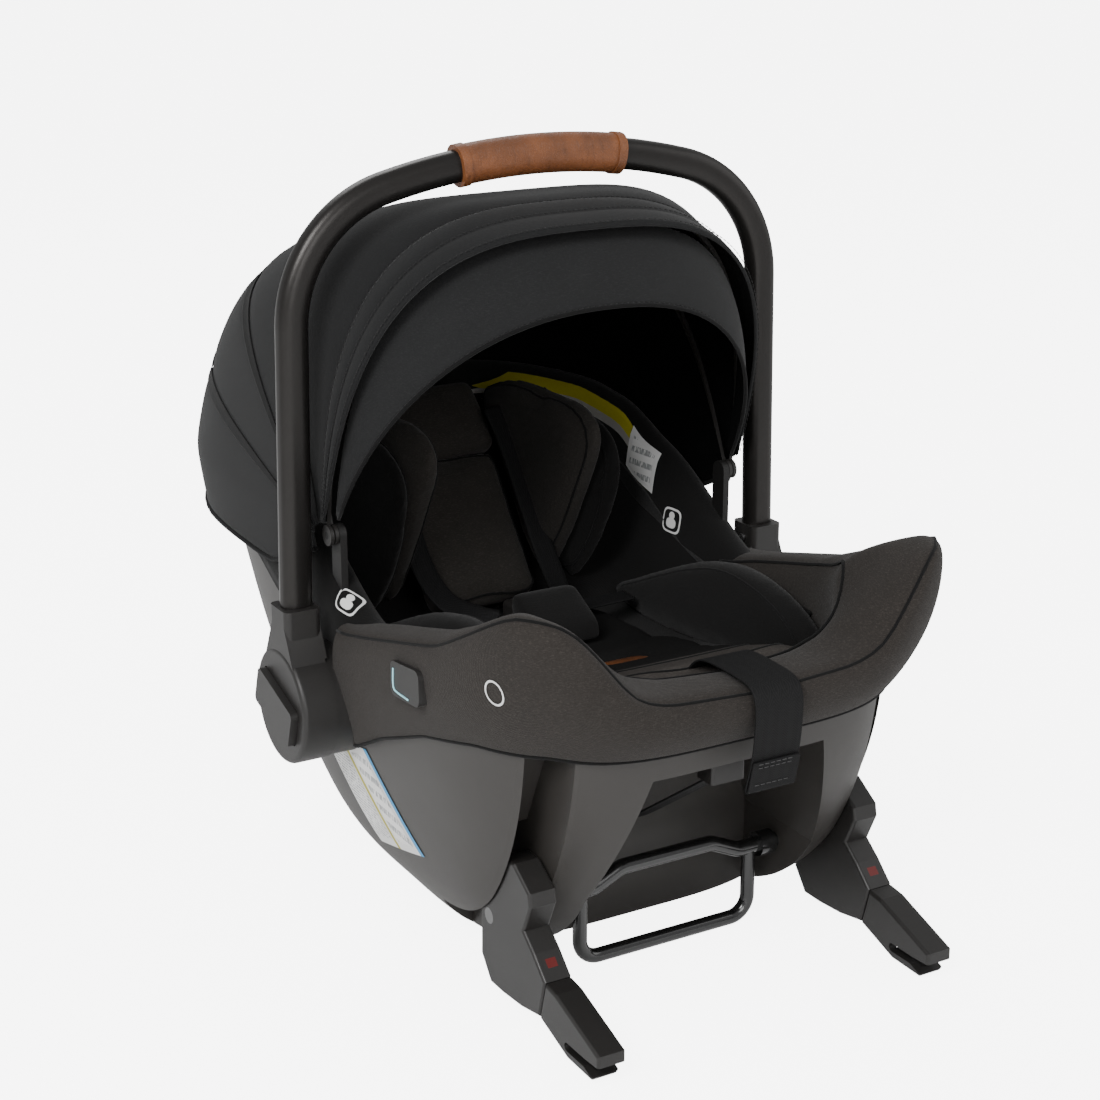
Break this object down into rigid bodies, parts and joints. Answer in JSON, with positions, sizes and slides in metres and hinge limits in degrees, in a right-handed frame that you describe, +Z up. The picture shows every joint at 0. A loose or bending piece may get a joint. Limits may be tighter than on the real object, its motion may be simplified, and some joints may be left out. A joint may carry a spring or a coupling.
{
  "type": "infant car seat",
  "caption": "Rear-facing infant carrier seat with folding canopy, tilting carry handle, harness, padded insert and fold-out rigid anchor connectors.",
  "frame": {"origin": "bottom centre of the whole seat's box, on the surface that it stands on", "axes": "+Y from the foot end towards the head end, +X the occupant's left-right axis, +Z up"},
  "size_m": [0.464, 0.695, 0.586],
  "materials": {
    "shell_plastic": "satin textured",
    "foam": "expanded foam",
    "cover_fabric": "heathered weave",
    "lining_jersey": "jersey knit",
    "insert_fabric": "heathered weave",
    "webbing": "herringbone webbing",
    "leather": "tan leather",
    "hub_plastic": "fine texture",
    "tube_metal": "satin bronze-black anodised",
    "steel": "plated",
    "canopy_fabric": "dense weave",
    "connector_plastic": "fine texture",
    "signal_red": "smooth",
    "gloss_black_rod": "gloss black"
  },
  "bodies": {
    "seat": {"adjuster_housing": "hub_plastic", "buckle_body": "hub_plastic", "canopy_hem": "canopy_fabric", "canopy_mount_left": "hub_plastic", "canopy_mount_right": "hub_plastic", "canopy_rear_panel": "canopy_fabric", "crotch_pad": "insert_fabric", "foam_liner": "foam", "front_cover": "cover_fabric", "harness_tongue_left": "steel", "harness_tongue_right": "steel", "head_pad": "insert_fabric", "head_wing_left": "insert_fabric", "head_wing_right": "insert_fabric", "hub_base_left": "hub_plastic", "hub_base_right": "hub_plastic", "hub_pins": "steel", "lap_strap_left": "webbing", "lap_strap_right": "webbing", "leather_tab": "leather", "lower_shell": "shell_plastic", "pull_strap": "webbing", "rear_cover": "lining_jersey", "release_bracket": "connector_plastic", "release_strap": "webbing", "seat_pad": "lining_jersey", "shoulder_strap_left": "webbing", "shoulder_strap_right": "webbing", "thigh_pad_left": "lining_jersey", "thigh_pad_right": "lining_jersey", "torso_pad": "insert_fabric"},
    "handle": {"handle_tube": "tube_metal", "handle_grip": "leather", "grip_bands": "leather", "handle_arm_right": "hub_plastic", "handle_arm_left": "hub_plastic", "hub_spring_right": "steel", "hub_spring_left": "steel", "collar_screws": "steel"},
    "hub_button_right": {"hub_button_right": "hub_plastic"},
    "hub_button_left": {"hub_button_left": "hub_plastic"},
    "canopy_front": {"canopy_front_panel": "canopy_fabric", "canopy_front_bow": "hub_plastic"},
    "canopy_mid": {"canopy_mid_panel": "canopy_fabric", "canopy_mid_bow": "hub_plastic"},
    "visor": {"canopy_visor": "canopy_fabric"},
    "latch_frame": {"latch_arm_right": "connector_plastic", "latch_arm_left": "connector_plastic", "latch_indicators": "signal_red", "latch_connector_right": "connector_plastic", "latch_connector_left": "connector_plastic", "hook_pins": "steel", "cross_tube": "gloss_black_rod", "base_hoop": "gloss_black_rod"},
    "latch_hook_right": {"latch_hook_right": "steel"},
    "latch_hook_left": {"latch_hook_left": "steel"},
    "release_button_right": {"release_button_right": "hub_plastic"},
    "release_button_left": {"release_button_left": "hub_plastic"},
    "buckle_button": {"buckle_button": "signal_red"},
    "adjuster_button": {"adjuster_button": "hub_plastic"}
  },
  "joints": [
    {"name": "handle_tilt", "type": "hinge", "parent": "seat", "child": "handle", "pos_m": [0, -0.0065, 0.172], "axis": [1, 0, 0], "range_deg": [-110, 0]},
    {"name": "hub_press_right", "type": "slide", "parent": "handle", "child": "hub_button_right", "axis": [-1, 0, 0], "range_m": [0, 0.004], "stiffness_N_per_m": 900, "deforming": ["hub_spring_right"]},
    {"name": "hub_press_left", "type": "slide", "parent": "handle", "child": "hub_button_left", "axis": [1, 0, 0], "range_m": [0, 0.004], "stiffness_N_per_m": 900, "deforming": ["hub_spring_left"]},
    {"name": "canopy_fold", "type": "hinge", "parent": "seat", "child": "canopy_front", "pos_m": [0, -0.0065, 0.3], "axis": [1, 0, 0], "range_deg": [-55, 0]},
    {"name": "canopy_mid_fold", "type": "hinge", "parent": "seat", "child": "canopy_mid", "pos_m": [0, -0.0065, 0.3], "axis": [1, 0, 0], "range_deg": [-27.5, 0], "deforming": ["canopy_mid_panel"]},
    {"name": "visor_flip", "type": "hinge", "parent": "canopy_front", "child": "visor", "pos_m": [0, -0.0065, 0.3], "axis": [1, 0, 0], "range_deg": [-18, 0]},
    {"name": "connector_fold", "type": "hinge", "parent": "seat", "child": "latch_frame", "pos_m": [0, -0.1965, 0.062], "axis": [1, 0, 0], "range_deg": [-80, 0]},
    {"name": "hook_catch_right", "type": "hinge", "parent": "latch_frame", "child": "latch_hook_right", "pos_m": [0.14, -0.2965, 0.024], "axis": [1, 0, 0], "range_deg": [0, 20], "stiffness_Nm_per_rad": 0.02},
    {"name": "hook_catch_left", "type": "hinge", "parent": "latch_frame", "child": "latch_hook_left", "pos_m": [-0.14, -0.2965, 0.024], "axis": [1, 0, 0], "range_deg": [0, 20], "stiffness_Nm_per_rad": 0.02},
    {"name": "release_press_right", "type": "slide", "parent": "seat", "child": "release_button_right", "axis": [-1, 0, 0], "range_m": [0, 0.004], "stiffness_N_per_m": 700},
    {"name": "release_press_left", "type": "slide", "parent": "seat", "child": "release_button_left", "axis": [1, 0, 0], "range_m": [0, 0.004], "stiffness_N_per_m": 700},
    {"name": "buckle_press", "type": "slide", "parent": "seat", "child": "buckle_button", "axis": [0, 0, -1], "range_m": [0, 0.003], "stiffness_N_per_m": 900},
    {"name": "adjuster_press", "type": "slide", "parent": "seat", "child": "adjuster_button", "axis": [0, 0, -1], "range_m": [0, 0.003], "stiffness_N_per_m": 700}
  ],
  "couplings": [
    {"joint": "canopy_mid_fold", "follows": "canopy_fold", "ratio": 0.5}
  ]
}
